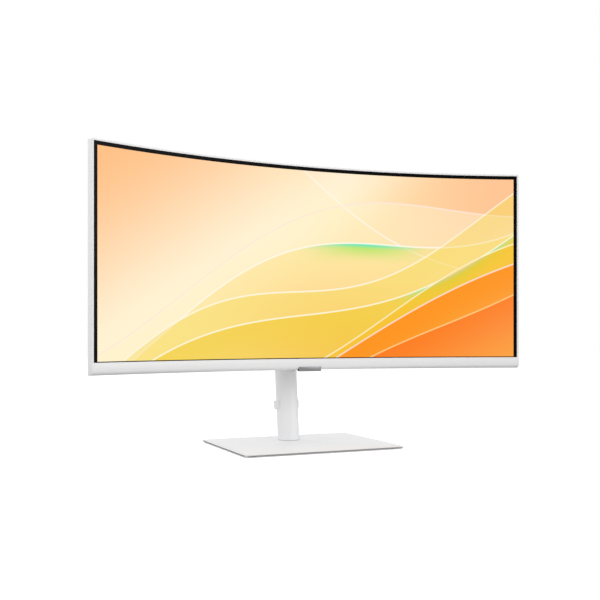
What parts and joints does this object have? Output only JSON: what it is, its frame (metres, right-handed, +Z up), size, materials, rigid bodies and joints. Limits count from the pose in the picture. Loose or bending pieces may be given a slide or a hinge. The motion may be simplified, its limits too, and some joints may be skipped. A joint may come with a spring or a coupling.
{
  "type": "computer monitor",
  "caption": "Wide concave desktop monitor with a slim rim and chin on a leaning round column that swivels, lifts and tilts, over a thin flat foot plate.",
  "frame": {"origin": "middle of the foot's footprint, at desk level", "axes": "+X to the viewer's right along the screen's width, +Y away from the viewer, +Z up"},
  "size_m": [0.8094, 0.239, 0.5069],
  "materials": {
    "white_shell": "fine matt texture, white",
    "rim_plastic": "satin white",
    "screen_glass": "black glass with an anti-glare coat",
    "film": "translucent white sheet",
    "guide_acrylic": "clear acrylic",
    "bare_steel": "zinc-coated sheet steel",
    "white_metal": "white powder coat, satin",
    "white_alloy": "white powder coat on aluminium, satin",
    "bare_alloy": "plain machined aluminium",
    "circuit_board": "green solder mask",
    "chip_black": "moulded black epoxy",
    "black_plastic": "matt black",
    "grey_plastic": "natural acetal",
    "plated_socket": "nickel-plated shell",
    "badge_metal": "satin grey, blank",
    "smoked_window": "dark, glossy",
    "brass_insert": "plain brass",
    "screw_steel": "zinc-plated screw",
    "pad_rubber": "soft dark grey rubber",
    "led_strip": "phosphor-coated LEDs on a strip"
  },
  "bodies": {
    "foot": {"base_plate": "white_metal", "rubber_feet": "pad_rubber", "swivel_pedestal": "bare_steel", "base_screws": "screw_steel", "swivel_nut": "screw_steel"},
    "column": {"column_tube": "white_alloy", "swivel_hub": "grey_plastic", "swivel_washer": "bare_steel", "spring_seat": "grey_plastic", "gas_cylinder": "bare_steel", "top_bush": "white_shell", "cable_clip": "white_shell"},
    "lift": {"lift_tube": "bare_alloy", "lower_bush": "grey_plastic", "gas_rod": "bare_steel", "lift_head": "white_alloy", "tilt_shaft": "bare_steel", "tilt_washers": "grey_plastic", "hinge_caps": "white_shell"},
    "head": {"tilt_bracket": "white_alloy", "bracket_screws": "screw_steel", "rear_cover": "white_shell", "middle_frame": "rim_plastic", "chin_bezel": "rim_plastic", "lcd_panel": "screen_glass", "diffuser_sheets": "film", "light_guide": "guide_acrylic", "reflector_sheet": "film", "led_bar": "led_strip", "panel_chassis": "bare_steel", "vesa_plate": "bare_steel", "vesa_inserts": "brass_insert", "mount_posts": "bare_steel", "board_tray": "bare_steel", "board_spacers": "brass_insert", "main_board": "circuit_board", "main_board_parts": "chip_black", "power_board": "circuit_board", "power_board_parts": "chip_black", "power_inlet": "black_plastic", "hdmi_sockets": "plated_socket", "displayport_socket": "plated_socket", "usb_c_socket": "plated_socket", "usb_a_sockets": "plated_socket", "ethernet_socket": "plated_socket", "audio_jack": "black_plastic", "socket_plate": "black_plastic", "timing_board": "circuit_board", "panel_ribbon": "film", "badge_plate": "badge_metal", "status_window": "smoked_window", "jog_switch": "black_plastic", "key_board": "circuit_board"},
    "jog_tilt_body": {"jog_gimbal": "grey_plastic"},
    "jog_lean_body": {"jog_stem": "bare_steel"},
    "jog_cap_body": {"jog_cap": "white_shell"}
  },
  "joints": [
    {"name": "swivel", "type": "hinge", "parent": "foot", "child": "column", "pos_m": [0, 0.055, 0], "axis": [0, 0, 1], "range_deg": [-30, 30]},
    {"name": "height", "type": "slide", "parent": "column", "child": "lift", "axis": [0, 0.108, 0.9942], "range_m": [-0.06, 0.06]},
    {"name": "tilt", "type": "hinge", "parent": "lift", "child": "head", "pos_m": [0, 0.057, 0.32365], "axis": [-1, 0, 0], "range_deg": [-5, 20]},
    {"name": "jog_front_back", "type": "hinge", "parent": "head", "child": "jog_tilt_body", "pos_m": [-0.024, -0.0255, 0.1509], "axis": [1, 0, 0], "range_deg": [-5, 5], "stiffness_Nm_per_rad": 0.05},
    {"name": "jog_left_right", "type": "hinge", "parent": "jog_tilt_body", "child": "jog_lean_body", "pos_m": [-0.024, -0.0255, 0.1509], "axis": [0, 1, 0], "range_deg": [-5, 5], "stiffness_Nm_per_rad": 0.05},
    {"name": "jog_press", "type": "slide", "parent": "jog_lean_body", "child": "jog_cap_body", "axis": [0, 0, 1], "range_m": [0, 0.0005], "stiffness_N_per_m": 400}
  ]
}
